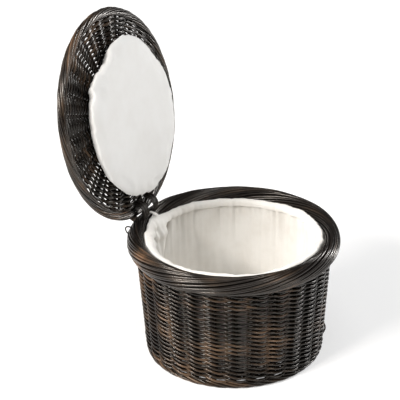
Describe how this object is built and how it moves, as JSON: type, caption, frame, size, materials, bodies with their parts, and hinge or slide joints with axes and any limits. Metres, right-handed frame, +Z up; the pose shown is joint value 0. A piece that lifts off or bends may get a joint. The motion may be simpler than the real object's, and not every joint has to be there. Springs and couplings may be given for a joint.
{
  "type": "egg collection basket",
  "caption": "Round woven rattan egg basket with a hinged woven lid, a gathered cotton liner and a padded lid cushion.",
  "frame": {"origin": "centre of the basket's foot, on the surface that it stands on", "axes": "+Z up along the basket's axis; the lid hinge is at the back (+Y) with its axis along +X; the front faces -Y"},
  "size_m": [0.26, 0.315, 0.4123],
  "materials": {
    "rattan_dark": "semi-gloss woven poly-rattan",
    "rattan_brown": "semi-gloss poly-rattan",
    "hoop_steel": "plain drawn wire",
    "liner_cotton": "soft unbleached cotton",
    "cushion_cotton": "smooth white cotton",
    "cushion_filling": "polyester wadding"
  },
  "bodies": {
    "basket": {"stake_rods_lower": "rattan_dark", "stake_rods_upper": "rattan_dark", "base_weave": "rattan_dark", "foot_border": "rattan_dark", "foot_wale": "rattan_dark", "side_weave": "rattan_dark", "rim_hoop": "hoop_steel", "rim_border": "rattan_dark", "hinge_binding_left": "rattan_brown", "hinge_binding_right": "rattan_brown", "liner_wall": "liner_cotton", "liner_floor": "liner_cotton", "liner_cuff": "liner_cotton", "liner_tie": "liner_cotton"},
    "lid": {"lid_rods_lower": "rattan_dark", "lid_rods_upper": "rattan_dark", "lid_weave": "rattan_dark", "lid_hoop": "hoop_steel", "lid_border": "rattan_dark", "cushion_back": "cushion_cotton", "cushion_face": "cushion_cotton", "cushion_filling": "cushion_filling", "cushion_ties": "cushion_cotton"}
  },
  "joints": [
    {"name": "lid_hinge", "type": "hinge", "parent": "basket", "child": "lid", "pos_m": [0, 0.12473, 0.16365], "axis": [1, 0, 0], "range_deg": [0, 102.4]}
  ]
}
